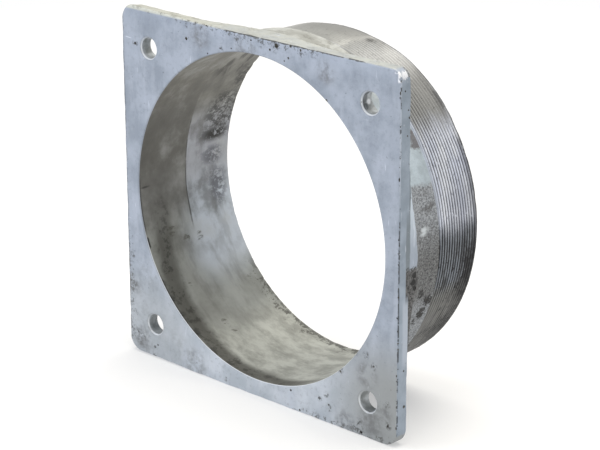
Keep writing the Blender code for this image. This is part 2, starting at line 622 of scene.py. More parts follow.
# %% [markdown]
# ## Helpers for the finishes
#
# Every finish is built from a few small steps: a cloudy noise with a real size, a
# soft threshold that turns a value into a mask, and a coat of colour laid on by
# that mask. They all read the object's own coordinates in metres, so a stain of
# ten millimetres is ten millimetres wide from wherever it is seen. A spot by
# itself would look like a round dot, so its edge is frayed by a cloud.

# %% Write the finish helpers


class Finish:
    """A Principled material with helpers that add its nodes."""

    def __init__(self, name, metallic):
        self.material = bpy.data.materials.new(name)
        self.material.use_nodes = True
        self.tree = self.material.node_tree
        self.shader = self.tree.nodes["Principled BSDF"]
        self.shader.inputs["Metallic"].default_value = metallic
        self.colour = None
        self.place = self.tree.nodes.new("ShaderNodeTexCoord").outputs["Object"]
        axes = self.tree.nodes.new("ShaderNodeSeparateXYZ")
        self.tree.links.new(self.place, axes.inputs[0])
        self.x, self.depth, self.height = axes.outputs
        length = self.tree.nodes.new("ShaderNodeVectorMath")
        length.operation = "LENGTH"
        self.tree.links.new(self.stretched((1, 0, 1)), length.inputs[0])
        self.radius = length.outputs["Value"]

    def put(self, value, socket):
        """Link a node's output, or set a plain number or colour."""
        if isinstance(value, bpy.types.NodeSocket):
            self.tree.links.new(value, socket)
        else:
            socket.default_value = value

    def stretched(self, scale, turn=(0, 0, 0)):
        """The object's coordinates, turned and scaled."""
        mapping = self.tree.nodes.new("ShaderNodeMapping")
        mapping.inputs["Scale"].default_value = scale
        mapping.inputs["Rotation"].default_value = turn
        self.tree.links.new(self.place, mapping.inputs["Vector"])
        return mapping.outputs["Vector"]

    def math(self, operation, first, second):
        """One sum on two values, each a node's output or a number."""
        node = self.tree.nodes.new("ShaderNodeMath")
        node.operation = operation
        self.put(first, node.inputs[0])
        self.put(second, node.inputs[1])
        return node.outputs[0]

    def plus(self, first, second):
        return self.math("ADD", first, second)

    def times(self, first, *others):
        for other in others:
            first = self.math("MULTIPLY", first, other)
        return first

    def most(self, first, *others):
        """The largest of a few values, which joins masks."""
        for other in others:
            first = self.math("MAXIMUM", first, other)
        return first

    def rest_of(self, share):
        return self.math("SUBTRACT", 1, share)

    def gap(self, first, second):
        """How far apart two values are."""
        return self.math("ABSOLUTE", self.math("SUBTRACT", first, second), 0)

    def blend(self, share, first, second):
        """Go from one number to another as a mask goes from 0 to 1."""
        return self.plus(self.times(share, second - first), first)

    def mask(self, value, low, high):
        """0 at low and 1 at high, with a soft curve between them."""
        node = self.tree.nodes.new("ShaderNodeMapRange")
        node.interpolation_type = "SMOOTHSTEP"
        node.inputs["From Min"].default_value = low
        node.inputs["From Max"].default_value = high
        self.put(value, node.inputs["Value"])
        return node.outputs["Result"]

    def zone(self, **limits):
        """Where x, depth, height or radius, as named, lie inside their limits.

        Two numbers are where a limit's mask is 0 and where it is 1. Four numbers
        are a range, where the mask is 0, 1, 1 and 0 again.
        """
        masks = []
        for axis, (outside, inside, *far_side) in limits.items():
            value = getattr(self, axis)
            masks.append(self.mask(value, outside, inside))
            if far_side:
                far_inside, far_outside = far_side
                masks.append(self.mask(value, far_outside, far_inside))
        return self.times(*masks)

    def cloud(self, size, detail=3.0, roughness=0.55, scale=(1, 1, 1), offset=0.0, turn=(0, 0, 0)):
        """Noise from 0 to 1 whose patches are about size metres across."""
        grain = self.tree.nodes.new("ShaderNodeTexNoise")
        grain.noise_dimensions = "4D"
        grain.inputs["W"].default_value = offset
        grain.inputs["Scale"].default_value = 0.6 / size
        grain.inputs["Detail"].default_value = detail
        grain.inputs["Roughness"].default_value = roughness
        self.tree.links.new(self.stretched(scale, turn), grain.inputs["Vector"])
        return grain.outputs["Fac"]

    def patches(self, size, low, high, **looks):
        """The mask of a new cloud."""
        return self.mask(self.cloud(size, **looks), low, high)

    def ragged(self, value, cloud, amount):
        """Push a value up and down by a cloud, so that its mask has a frayed edge."""
        return self.plus(value, self.times(self.math("SUBTRACT", cloud, 0.5), amount))

    def gather(self, cloud, where, amount):
        """Raise a cloud inside a mask, so that its patches crowd there."""
        return self.plus(cloud, self.times(where, amount))

    def spot(self, centre, inner, outer, scale=(1, 1, 1)):
        """1 within the inner radius of a point, 0 beyond the outer one.

        A scale below 1 makes the spot longer in that direction.
        """
        node = self.tree.nodes.new("ShaderNodeVectorMath")
        node.operation = "DISTANCE"
        self.tree.links.new(self.stretched(scale), node.inputs[0])
        node.inputs[1].default_value = [place * factor for place, factor in zip(centre, scale)]
        return self.mask(node.outputs["Value"], outer, inner)

    def spots(self, *places):
        """Soft spots, each given by x, y, z and its size."""
        return self.most(0.0, *[self.spot(centre, size * 0.3, size) for *centre, size in places])

    def front_spots(self, *places):
        """Soft spots on the mating face, each given by x, z and its size."""
        return self.spots(*[(x, 0, z, size) for x, z, size in places])

    def cloud_spot(self, cloud, low, high, *spot):
        """The patches of a cloud inside one spot."""
        return self.times(self.mask(cloud, low, high), self.spot(*spot))

    def mix(self, share, first, second):
        """The first colour where a mask is 0, and the second where it is 1."""
        node = self.tree.nodes.new("ShaderNodeMix")
        node.data_type = "RGBA"
        self.put(share, node.inputs["Factor"])
        self.put(first, node.inputs["A"])
        self.put(second, node.inputs["B"])
        return node.outputs["Result"]

    def paint(self, tone, share, amount=1):
        """Lay a colour over those before it, where a mask lets it through."""
        if amount != 1:
            share = self.times(share, amount)
        self.colour = self.mix(share, self.colour, tone)

    def bump(self, height, depth):
        """Let a cloud stand up to a depth in metres from the surface, in the shading only."""
        node = self.tree.nodes.new("ShaderNodeBump")
        node.inputs["Distance"].default_value = depth
        self.tree.links.new(height, node.inputs["Height"])
        self.tree.links.new(node.outputs["Normal"], self.shader.inputs["Normal"])

    def finish(self, roughness):
        """Hand the colour and the roughness to the shader."""
        self.put(self.colour, self.shader.inputs["Base Color"])
        self.put(roughness, self.shader.inputs["Roughness"])
        return self.material

    def tell(self, step):
        """Print how far the finish has grown."""
        print(f"{self.material.name}: {len(self.tree.nodes)} nodes after {step}")


print("finish helpers:", ", ".join(name for name in vars(Finish) if name[0] != "_"))

# %% [markdown]
# ## Zinc on the plate
#
# Dipped zinc is a light blue-grey with soft clouds in it. It is duller than
# polished metal, so it is part metallic with a fairly wide gloss. One even grey
# would look like paint, so clouds of two sizes vary it, and faint upright streaks
# show where it ran. The lower part is painted paler, as painted light that grows
# towards the bottom, and its two corners have gone dull.

# %% Mix the plate's zinc
plate = Finish("zinc_plate", metallic=0.45)
clouds = plate.cloud(0.013, detail=5, roughness=0.6)
cloudy = plate.mask(clouds, 0.36, 0.64)
upper_zinc = plate.mix(cloudy, shade(141, 150, 163), shade(168, 176, 189))
# The lower zinc is painted paler, as painted light that grows towards the bottom.
lower_zinc_painted_light = plate.mix(cloudy, shade(172, 180, 189), shade(198, 204, 212))
plate.colour = plate.mix(plate.zone(height=(-0.030, -0.088)), upper_zinc, lower_zinc_painted_light)

streaks = plate.patches(0.0035, 0.48, 0.72, detail=4, scale=(1, 1, 0.14), offset=3)
fine_clouds = plate.patches(0.0013, 0.52, 0.72, roughness=0.6, offset=14)
dull_right = plate.spot((0.094, 0, -0.082), 0.012, 0.050)
dull_left = plate.spot((-0.085, 0, -0.088), 0.020, 0.042)
plate.paint(shade(184, 191, 204), streaks, 0.35)
plate.paint(shade(120, 126, 136), fine_clouds, 0.30)
plate.paint(shade(146, 149, 149), dull_right, 0.9)
plate.paint(shade(150, 154, 156), dull_left, 0.40)
plate.tell("the zinc")

# %% [markdown]
# ## The plate's sides
#
# The top edge is painted pale cream, as painted light from above, with dark dust
# in it, and the right side is a shade darker than the face, with a painted
# highlight low on it. The round root behind the plate reaches past the side, where
# the plate's outline cuts it flat and leaves a bulge. The bulge is painted pale at
# the top and darker lower down, as a painted highlight, with a painted shadow
# along its back edge. Below the middle it turns rough and black with scale. All of
# this lies in known places, so each part is a zone with soft limits.

# %% Colour the sides and the root bulge
# The top edge is painted pale cream, as painted light from above, and the dust darkens it in patches.
top_dirt = plate.patches(0.0025, 0.50, 0.62, detail=6, roughness=0.75, scale=(0.6, 1, 1), offset=25)
top_highlight_and_dust = plate.mix(plate.times(top_dirt, 0.55), shade(196, 197, 187), shade(128, 126, 116))
plate.paint(top_highlight_and_dust, plate.zone(height=(0.0992, 0.1004)))

right_side = plate.zone(x=(0.0991, 0.0997))
side_clouds = plate.patches(0.006, 0.35, 0.65, detail=4, offset=21)
plate.paint(plate.mix(side_clouds, shade(140, 151, 163), shade(156, 167, 180)), right_side)
# A pale patch low on the right side is a painted highlight.
painted_low_highlight = plate.zone(depth=(0.0025, 0.0040), height=(-0.060, -0.050, -0.024, -0.018))
plate.paint(shade(182, 190, 202), plate.times(painted_low_highlight, right_side), 0.7)

# The bulge is painted pale at the top and darker lower down, as a painted highlight.
bulge_highlight_shade_and_scale = plate.mix(plate.zone(height=(-0.002, 0.030)), shade(160, 169, 182), shade(200, 210, 220))
uneven_depth = plate.plus(plate.depth, plate.times(side_clouds, 0.0006))
# A painted shadow runs along the bulge's back edge, where it meets the neck.
painted_shadow_band = plate.mask(uneven_depth, 0.0088, 0.0080)
bulge_highlight_shade_and_scale = plate.mix(painted_shadow_band, bulge_highlight_shade_and_scale, shade(126, 135, 142))
rough_grain = plate.patches(0.0008, 0.38, 0.62, detail=5, roughness=0.7)
rough_tone = plate.mix(rough_grain, shade(44, 44, 44), shade(112, 112, 112))
rough_height = plate.plus(plate.height, plate.times(rough_grain, 0.002))
bulge_highlight_shade_and_scale = plate.mix(plate.mask(rough_height, -0.0020, -0.0040), bulge_highlight_shade_and_scale, rough_tone)
bulge_front = plate.zone(depth=(0.0050, 0.0056), height=(-0.024, -0.016, 0.016, 0.030))
bulge = plate.most(plate.zone(depth=(0.0070, 0.0074)), bulge_front)
plate.paint(bulge_highlight_shade_and_scale, plate.times(bulge, right_side))

scale_cloud = plate.cloud(0.0014, detail=6, roughness=0.75, offset=35)
scale_spots = plate.spots(
    (0.1, 0.0120, -0.0085, 0.0034), (0.1, 0.0110, -0.0118, 0.0038), (0.0995, 0.0120, -0.0150, 0.0030),
)
bulge_scale = plate.mask(plate.ragged(scale_spots, scale_cloud, 3.2), 0.50, 0.80)
plate.paint(shade(30, 30, 30), plate.times(bulge_scale, plate.zone(depth=(0.0078, 0.0090))))
plate.tell("the sides")

# %% [markdown]
# ## Bolt holes and lips
#
# The drilled walls are darker than the face. Through the upper right hole the
# camera sees a wall with painted shade that makes it nearly black, and a painted
# glint on it. The countersinks and the lower part of the bore's lip get a painted
# highlight, most of all on their lower sides. The distance from the nearer middle
# line tells a hole from the bore, so one mask serves all four.

# %% Darken the holes and paint highlights on the lips
from_middle = plate.most(plate.gap(plate.x, 0), plate.gap(plate.height, 0))
hole_walls = plate.times(
    plate.zone(depth=(0.0008, 0.0014), radius=(0.103, 0.106)), plate.mask(from_middle, 0.088, 0.087)
)
wall_clouds = plate.patches(0.003, 0.35, 0.65, detail=4, offset=23)
plate.paint(plate.mix(wall_clouds, shade(146, 150, 150), shade(190, 195, 199)), hole_walls)
# Painted shade darkens the upper right hole's wall, and a painted glint sits on it.
painted_shade_places = plate.spots(
    (0.0748, 0.0018, 0.0808, 0.0036), (0.0762, 0.0018, 0.0838, 0.0036),
    (0.0748, 0.0024, 0.0768, 0.0024),
)
painted_hole_shade = plate.mask(painted_shade_places, 0.10, 0.60)
painted_glint = plate.spot((0.0742, 0.0054, 0.0785), 0.0007, 0.0018)
plate.paint(shade(74, 79, 82), plate.times(hole_walls, painted_hole_shade), 0.7)
plate.paint(shade(250, 252, 255), plate.times(hole_walls, painted_glint), 0.9)

at_face = plate.zone(depth=(0.00018, 0.00030, 0.0008, 0.0010))
lips = plate.times(at_face, plate.mask(from_middle, 0.097, 0.096))
beyond_bore = plate.zone(radius=(0.098, 0.100))
lower_sides = plate.most(
    plate.zone(height=(0.060, 0.065, 0.0790, 0.0835)), plate.zone(height=(-0.0762, -0.0805))
)
upper_sides = plate.times(
    plate.mask(from_middle, 0.0690, 0.0700), beyond_bore, plate.rest_of(lower_sides)
)
# The countersinks and the bore's lower lip get a painted highlight, strongest on their lower sides.
painted_lip_highlight = plate.most(beyond_bore, plate.zone(height=(-0.018, -0.040)))
painted_lip_highlight = plate.times(painted_lip_highlight, plate.rest_of(plate.times(upper_sides, 0.65)))
plate.paint(shade(232, 236, 240), plate.times(lips, painted_lip_highlight), 0.8)
plate.tell("the holes")

# %% [markdown]
# ## Grime along the front edges
#
# A thin dark line follows the front edge down the right side and along the top,
# broken into dashes. It wanders a little, because dirt clings where the zinc is
# rough. A cloud is raised where the line is strong and cut off by a threshold,
# which gives dashes that grow together there. A painted highlight runs along the
# edge on the clean part.

# %% Draw the grime along the edges
edge_reach = plate.most(plate.x, plate.height)
wander = plate.cloud(0.0022, detail=5, roughness=0.7, offset=7)
near_edge = plate.mask(plate.ragged(edge_reach, wander, 0.0016), 0.0992, 0.0996)
near_edge = plate.times(near_edge, plate.zone(depth=(0.0008, 0.0005)))
# A painted highlight along the right edge, on the clean part.
painted_edge_highlight = plate.times(near_edge, plate.zone(x=(0.0985, 0.0990), height=(0.020, 0.050)))
plate.paint(shade(206, 214, 226), painted_edge_highlight, 0.5)

faint_below = plate.times(plate.zone(height=(-0.046, -0.056)), 0.5)
right_line = plate.times(plate.zone(height=(0.026, 0.016), x=(0.09, 0.095)), plate.rest_of(faint_below))
right_top_line = plate.zone(height=(0.055, 0.062), x=(0.09, 0.095))
top_line = plate.zone(x=(-0.04, -0.01, 0.070, 0.080))
line_strength = plate.most(right_line, plate.times(right_top_line, 0.5), top_line)
dashes = plate.gather(plate.cloud(0.004, detail=5, roughness=0.7, offset=19), line_strength, 0.16)
front_line = plate.times(plate.mask(dashes, 0.56, 0.64), near_edge)
left_line = plate.times(plate.zone(x=(-0.0985, -0.0996)), plate.mask(dashes, 0.40, 0.55))
plate.paint(shade(58, 60, 62), plate.most(front_line, plate.times(left_line, 0.5)), 0.85)
plate.tell("the edge lines")

# %% [markdown]
# ## Dirt, stains and scratches
#
# Small black blotches lie below the top edge and at the lower corners, each one
# of them a cloud seen through a soft spot. A fringe of the same dirt creeps in
# from three edges. Wider stains are fainter, and short scratches in two
# directions show only in the clear parts of the zinc.

# %% Add the blotches, stains and scratches
blotches = plate.front_spots(
    (-0.090, 0.081, 0.0030), (-0.024, 0.0885, 0.003), (-0.012, 0.096, 0.004),
    (-0.004, 0.088, 0.004), (0.005, 0.0985, 0.005), (0.0145, 0.097, 0.0045),
    (0.034, 0.0965, 0.0025), (0.042, 0.0985, 0.004), (-0.0965, -0.0417, 0.003),
    (-0.0965, -0.0592, 0.0045), (-0.096, -0.0765, 0.003), (-0.0925, -0.090, 0.007),
    (-0.080, -0.093, 0.0025), (-0.0815, -0.0985, 0.0025), (-0.0235, -0.0965, 0.0025),
    (0.061, -0.067, 0.003), (0.0785, -0.054, 0.003), (0.084, -0.059, 0.003),
    (0.0465, -0.0875, 0.0025), (0.051, -0.084, 0.0025), (0.053, -0.091, 0.003),
    (0.0435, -0.099, 0.004), (0.074, -0.0935, 0.004), (0.073, -0.0965, 0.006),
    (0.094, -0.089, 0.003), (0.093, -0.0775, 0.003), (0.0695, -0.0545, 0.0045),
)
dirt = plate.patches(0.0014, 0.46, 0.60, detail=5, roughness=0.75, offset=5)
plate.paint(shade(70, 71, 70), plate.times(blotches, dirt), 0.9)

fringe = plate.most(
    plate.zone(height=(0.0940, 0.0992), x=(-0.075, -0.050, 0.030, 0.045)),
    plate.zone(height=(-0.0935, -0.0990), x=(0.015, 0.040)),
    plate.zone(x=(-0.0930, -0.0985), height=(-0.020, -0.040)),
)
fringe_cloud = plate.gather(plate.cloud(0.0016, detail=6, roughness=0.75, offset=27), fringe, 0.10)
fringe_dirt = plate.times(
    plate.mask(fringe_cloud, 0.60, 0.68),
    plate.mask(fringe, 0.0, 0.3),
    plate.zone(depth=(0.0012, 0.0006)),
)
plate.paint(shade(76, 76, 74), fringe_dirt, 0.75)

steep_turn = (0, radians(28), 0)
level_turn = (0, radians(-12), 0)
steep = plate.patches(0.0012, 0.66, 0.70, detail=2, scale=(1, 1, 0.12), turn=steep_turn, offset=30)
level = plate.patches(0.0012, 0.68, 0.72, detail=2, scale=(0.12, 1, 1), turn=level_turn, offset=31)
clear_zinc = plate.mask(clouds, 0.45, 0.60)
plate.paint(shade(214, 220, 230), plate.times(plate.most(steep, level), clear_zinc), 0.6)

stains = plate.front_spots(
    (-0.0476, -0.0945, 0.012), (-0.090, -0.091, 0.011), (-0.097, -0.060, 0.008),
    (0.083, -0.0905, 0.012), (0.090, -0.084, 0.009), (0.079, -0.065, 0.010),
    (0.064, -0.096, 0.010), (-0.006, 0.0915, 0.012), (-0.040, 0.093, 0.010),
    (0.050, 0.090, 0.009),
)
faint_stains = plate.front_spots(
    (-0.088, -0.055, 0.017), (-0.082, -0.078, 0.017), (-0.062, -0.089, 0.014),
)
stain_clouds = plate.patches(0.0035, 0.38, 0.66, detail=6, roughness=0.68, offset=6)
specks = plate.patches(0.0015, 0.68, 0.74, detail=2, offset=9)
plate.paint(shade(104, 105, 106), plate.times(stains, stain_clouds), 0.7)
plate.paint(shade(118, 122, 124), plate.times(faint_stains, stain_clouds), 0.35)
plate.paint(shade(96, 98, 100), specks, 0.6)
plate.tell("the dirt")

# %% [markdown]
# ## The corner highlight and the gloss
#
# The upper right corner has knocked against something, and a painted highlight in
# two patches, one on the edge of the face and one on the side, stands for the light
# its worn rounding catches. The gloss varies with the clouds, and a fine bump keeps
# the light from lying flat on the face.

# %% Paint the corner highlight and set the gloss
# A painted highlight in two patches on the worn upper right corner.
highlight_cloud = plate.patches(0.0016, 0.40, 0.52, offset=17)
on_edge = plate.times(plate.mask(edge_reach, 0.0974, 0.0982), plate.zone(depth=(0.0018, 0.0012)))
painted_highlight_front = plate.times(plate.spot((0.0984, 0.0, 0.0966), 0.0024, 0.0036), on_edge)
painted_highlight_side = plate.spot((0.0992, 0.0044, 0.0965), 0.0016, 0.0032, (1, 0.8, 0.8))
painted_corner_highlight = plate.times(plate.most(painted_highlight_front, painted_highlight_side), highlight_cloud)
plate.paint(shade(250, 251, 254), painted_corner_highlight, 0.85)
plate.bump(plate.cloud(0.0016, detail=4, roughness=0.65, offset=12), 0.00022)
zinc_plate = plate.finish(plate.blend(plate.mask(clouds, 0.3, 0.7), 0.42, 0.60))
plate.tell("the gloss")

# %% [markdown]
# ## The bore
#
# The wall of the bore shows how it was made: the half nearest the plate was left
# from the core and is a dull olive grey, and the half under the thread is bluer
# and smoother, a difference that is partly painted reflection. A fine step parts
# them at the side and fades out below. Both halves are painted darker high up, as
# painted shade where the wall faces down, and paler low down, as painted light. So
# each is mixed from zones first, and one mask then parts them.

# %% Mix the two halves of the bore
bore = Finish("bore_wall", metallic=0.3)
drift = bore.cloud(0.018, detail=4, offset=2)
drifting_height = bore.ragged(bore.height, drift, 0.012)
joint_depth = bore.ragged(bore.depth, bore.cloud(0.030, offset=2), 0.003)
upper = bore.zone(height=(-0.036, -0.010))
sharp_joint = bore.mask(joint_depth, 0.0362, 0.0374)
soft_joint = bore.mask(bore.ragged(bore.depth, drift, 0.012), 0.020, 0.044)
rear_half = bore.mix(upper, soft_joint, sharp_joint)

# Both tones are painted darker high up, as painted shade, and paler low down, as painted light.
front_tone_and_shade = bore.mix(bore.zone(height=(-0.006, 0.014)), shade(123, 123, 120), shade(103, 102, 97))
front_tone_and_shade = bore.mix(upper, shade(150, 152, 147), front_tone_and_shade)
front_tone_and_shade = bore.mix(bore.zone(height=(0.036, 0.064)), front_tone_and_shade, shade(112, 110, 102))
rear_tone_and_shade = bore.mix(bore.zone(height=(-0.020, 0.004)), shade(197, 205, 215), shade(170, 173, 180))
rear_tone_and_shade = bore.mix(bore.mask(drifting_height, -0.046, -0.068), rear_tone_and_shade, shade(150, 153, 149))
rear_tone_and_shade = bore.mix(bore.zone(height=(0.018, 0.046)), rear_tone_and_shade, shade(124, 123, 116))
bore.colour = bore.mix(rear_half, front_tone_and_shade, rear_tone_and_shade)

soft_clouds = bore.cloud(0.012, detail=6, roughness=0.62, offset=8)
round_marks = bore.cloud(0.0035, detail=5, roughness=0.6, scale=(0.3, 1, 0.3))
cloud_strength = bore.blend(bore.zone(height=(-0.030, -0.050)), 0.62, 0.25)
bore.paint(shade(84, 83, 78), bore.times(bore.mask(soft_clouds, 0.44, 0.66), cloud_strength))
bore.paint(shade(88, 87, 82), bore.mask(round_marks, 0.46, 0.66), 0.28)
bore.paint(shade(180, 182, 180), bore.mask(soft_clouds, 0.52, 0.30), 0.38)

crack = bore.spot((-0.0907, 0.0045, -0.0022), 0.0003, 0.0010, (1, 0.2, 1))
bore.paint(shade(52, 52, 50), bore.times(crack, bore.zone(depth=(0.0002, 0.0010))), 0.8)
bore.tell("the two halves")

# %% [markdown]
# ## The floor and the dark band
#
# The floor of the bore is painted pale, with marks in it, as painted light where
# it faces up. A dark band follows the lower front edge, and it lies deeper in the
# bore at the side than at the bottom. Its middle line is a depth that changes with
# height, and the distance from that line gives the band.

# %% Paint the floor pale and lay the dark band
# The floor is painted pale, as painted light where it faces up, with marks in it.
floor_marks = bore.patches(0.008, 0.36, 0.64, detail=7, roughness=0.70, scale=(1, 1.6, 1), offset=4)
floor_light_and_marks = bore.mix(floor_marks, shade(198, 200, 192), shade(156, 157, 150))
bore.paint(floor_light_and_marks, bore.mask(drifting_height, -0.072, -0.086))

band_depth = bore.blend(bore.zone(height=(-0.088, -0.005)), 0.0045, 0.0155)
from_band = bore.gap(bore.ragged(bore.depth, drift, 0.006), band_depth)
band = bore.mask(from_band, 0.0095, 0.0025)
band = bore.times(band, bore.zone(x=(0.048, 0.020), height=(0.004, -0.036)))
band_strength = bore.blend(bore.zone(height=(-0.055, -0.075)), 0.72, 0.84)
dark_band = bore.patches(0.003, 0.50, 0.60, detail=6, roughness=0.72, offset=11)
bore.paint(shade(74, 73, 66), bore.times(band, band_strength))
bore.paint(shade(44, 43, 38), bore.times(band, dark_band), 0.6)
bore.tell("the soot")

# %% [markdown]
# ## Scale and dark lines in the bore
#
# Black scale is left near the rim at the upper left, dense in one short streak
# and loose above it, with bluish smears below. The bore's front lip is dark in
# two stretches at the left. One noise serves all of the scale, and each patch is
# that noise seen through its own long spot.

# %% Leave scale near the rim
bore_scale = bore.cloud(0.0018, detail=6, roughness=0.80, scale=(1, 0.8, 1), offset=1)
dense = bore.cloud_spot(bore_scale, 0.41, 0.49, (-0.0885, 0.059, 0.0175), 0.002, 0.0068, (1, 0.40, 1))
loose = bore.cloud_spot(bore_scale, 0.46, 0.54, (-0.0860, 0.062, 0.031), 0.006, 0.0140, (1, 0.75, 0.60))
high = bore.cloud_spot(bore_scale, 0.45, 0.55, (-0.0745, 0.068, 0.053), 0.003, 0.0110, (1, 1.1, 0.5))
bore.paint(shade(42, 42, 40), bore.most(dense, bore.times(loose, 0.8), bore.times(high, 0.8)))
low_smear = bore.cloud_spot(bore_scale, 0.44, 0.53, (-0.0895, 0.061, -0.013), 0.003, 0.0100, (1, 1, 0.6))
high_smear = bore.cloud_spot(bore_scale, 0.40, 0.52, (-0.0905, 0.058, 0.005), 0.003, 0.0080, (1, 0.7, 1))
top_marks = bore.cloud_spot(round_marks, 0.50, 0.60, (-0.064, 0.054, 0.0655), 0.006, 0.019, (1, 0.7, 1))
bore.paint(shade(92, 94, 102), bore.most(low_smear, high_smear), 0.8)
bore.paint(shade(52, 50, 44), top_marks, 0.85)

dark_stretches = bore.most(
    bore.zone(height=(-0.031, -0.022, -0.006, 0.012)),
    bore.zone(height=(-0.080, -0.070, -0.052, -0.046)),
)
left_lip = bore.zone(depth=(0.0018, 0.0009), x=(0.0, -0.05))
bore.paint(shade(44, 44, 40), bore.times(left_lip, dark_stretches), 0.75)
bore.tell("the scale")

# %% [markdown]
# ## Marks, the joint and the rim
#
# Short dark marks lie lower down the wall, and more of them along the lower lip,
# with one black gap. A thin line is left where the core's two halves met, and
# grime has gathered in clumps at the rim of the floor. They are small, but the
# eye reads them as use, so each has its own place.

# %% Add the marks and the grime at the rim
marks = bore.spots(
    (-0.0829, 0.039, -0.0375, 0.006), (-0.0832, 0.029, -0.0369, 0.005),
    (-0.0700, 0.018, -0.058, 0.0035), (-0.0484, 0.0244, -0.0771, 0.005),
    (-0.0438, 0.0254, -0.0797, 0.005), (-0.0855, 0.020, -0.031, 0.006),
)
mark_cloud = bore.cloud(0.0016, detail=6, roughness=0.72, scale=(1, 0.35, 1), offset=15)
bore.paint(shade(80, 79, 70), bore.mask(bore.ragged(marks, mark_cloud, 3.0), 0.86, 1.24), 0.7)

lip_gap = bore.spot((-0.0846, 0.0, -0.0325), 0.0026, 0.0040)
lip_marks = bore.spots(
    (-0.0730, 0.0010, -0.0537, 0.0028), (-0.0668, 0.0014, -0.0612, 0.0032),
    (-0.0590, 0.0015, -0.0687, 0.0032), (-0.0484, 0.0019, -0.0766, 0.0034),
    (-0.0352, 0.0013, -0.0835, 0.0034), (-0.0229, 0.0014, -0.0877, 0.0030),
)
lip_strength = bore.blend(bore.mask(mark_cloud, 0.50, 0.60), 0.45, 0.95)
bore.paint(shade(22, 22, 20), bore.times(lip_gap, bore.zone(depth=(0.0022, 0.0012))), 0.95)
bore.paint(shade(30, 30, 27), bore.times(lip_marks, lip_strength))

joint_line = bore.times(
    bore.mask(bore.gap(joint_depth, 0.0366), 0.0008, 0.0003),
    bore.zone(height=(-0.034, -0.026, 0.028, 0.036)),
    bore.patches(0.007, 0.40, 0.52, offset=18),
)
bore.paint(shade(62, 62, 60), joint_line, 0.75)

clumps = bore.cloud(0.0026, detail=6, roughness=0.74, offset=37)
clumps = bore.mask(bore.gather(clumps, bore.zone(depth=(0.0600, 0.0705)), 0.13), 0.585, 0.650)
at_rim = bore.zone(height=(-0.052, -0.068), depth=(0.0560, 0.0630))
bore.paint(shade(78, 77, 71), bore.times(clumps, at_rim), 0.8)
bore.bump(bore.cloud(0.0018, detail=5, roughness=0.65, offset=5), 0.00022)
bore_wall = bore.finish(0.55)
bore.tell("the rim")

# %% [markdown]
# ## The cast skin
#
# The neck was never machined. Its grainy skin holds brown-grey dirt in the
# hollows, and only the upper part of its right side is paler. The grain is in the
# mesh where it is coarse enough, and in the bump where it is finer. The side that
# faces right is rough in the middle and darker below, and the top is cream.

# %% Mix the neck's finish
skin = Finish("cast_skin", metallic=0.25)
grain = skin.cloud(0.0006, detail=4, roughness=0.72)
grainy = skin.mask(grain, 0.36, 0.64)
uneven = skin.cloud(0.006, detail=5, roughness=0.6, offset=4)
soft_patches = skin.mask(uneven, 0.35, 0.65)
broad = skin.ragged(skin.cloud(0.030, detail=4, roughness=0.6, offset=20), uneven, 0.5)
rough_zinc = skin.mix(grainy, shade(98, 100, 103), shade(164, 168, 172))
plain_zinc = skin.mix(soft_patches, shade(178, 187, 194), shade(150, 158, 164))
skin.colour = skin.mix(skin.mask(broad, 0.42, 0.60), rough_zinc, plain_zinc)

side_tone = skin.mix(grainy, shade(104, 106, 110), shade(180, 185, 190))
lower_tone = skin.mix(grainy, shade(60, 60, 62), shade(136, 138, 138))
side_tone = skin.mix(skin.zone(height=(0.022, -0.006)), side_tone, lower_tone)
side_tone = skin.mix(skin.times(skin.mask(uneven, 0.52, 0.70), 0.6), side_tone, shade(84, 82, 80))
lowest_tone = skin.mix(grainy, shade(102, 105, 109), shade(172, 177, 182))
side_tone = skin.mix(skin.times(skin.zone(height=(-0.022, -0.034)), 0.8), side_tone, lowest_tone)
pale_height = skin.plus(skin.height, skin.plus(skin.times(uneven, 0.010), skin.times(grain, 0.003)))
pale_tone = skin.mix(soft_patches, shade(190, 202, 210), shade(164, 175, 182))
side_tone = skin.mix(skin.mask(pale_height, 0.0385, 0.0415), side_tone, pale_tone)
skin.paint(side_tone, skin.zone(x=(0.045, 0.066), radius=(0.116, 0.108)))

cream_tone = skin.mix(skin.mask(uneven, 0.38, 0.64), shade(190, 192, 188), shade(160, 161, 156))
dust = skin.patches(0.0022, 0.50, 0.62, detail=6, roughness=0.75, scale=(0.6, 1, 1), offset=25)
cream_tone = skin.mix(skin.times(dust, 0.5), cream_tone, shade(112, 110, 102))
skin.paint(cream_tone, skin.zone(height=(0.068, 0.088), radius=(0.116, 0.106)))
skin.tell("the skin")

# %% [markdown]
# ## Marks on the neck
#
# A brown patch lies high on the pale part, and black scale low on the neck. Both
# are soft spots whose edges are frayed by a cloud stronger than the spots. The
# scale lies round one deep pit, which is a real hollow and is painted black here,
# and one white scrape shows fresh zinc.

# %% Mark the neck
deep_pit_centre = (0.0979, 0.0150, -0.0171)

brown_cloud = skin.cloud(0.0022, detail=5, roughness=0.7, offset=3)
brown_reach = skin.spot((0.0805, 0.0335, 0.0535), 0.0010, 0.0090, (1, 0.9, 0.65))
skin.paint(shade(98, 93, 95), skin.mask(skin.ragged(brown_reach, brown_cloud, 1.8), 0.40, 0.85), 0.85)
neck_scale_cloud = skin.cloud(0.0014, detail=6, roughness=0.75, offset=35)
neck_scale = skin.spots(
    (0.0960, 0.014, -0.012, 0.008), (0.0943, 0.0235, -0.0233, 0.005), (0.0925, 0.031, -0.029, 0.007),
    (0.0905, 0.029, -0.036, 0.007), (0.0900, 0.025, -0.041, 0.005), (0.0968, 0.0147, -0.0078, 0.005),
)
skin.paint(shade(34, 34, 34), skin.mask(skin.ragged(neck_scale, neck_scale_cloud, 3.2), 0.70, 0.95))
skin.paint(shade(14, 14, 14), skin.spot(deep_pit_centre, 0.0014, 0.0022))
scrape_cloud = skin.cloud(0.0016, detail=4, scale=(1, 0.5, 1), offset=8)
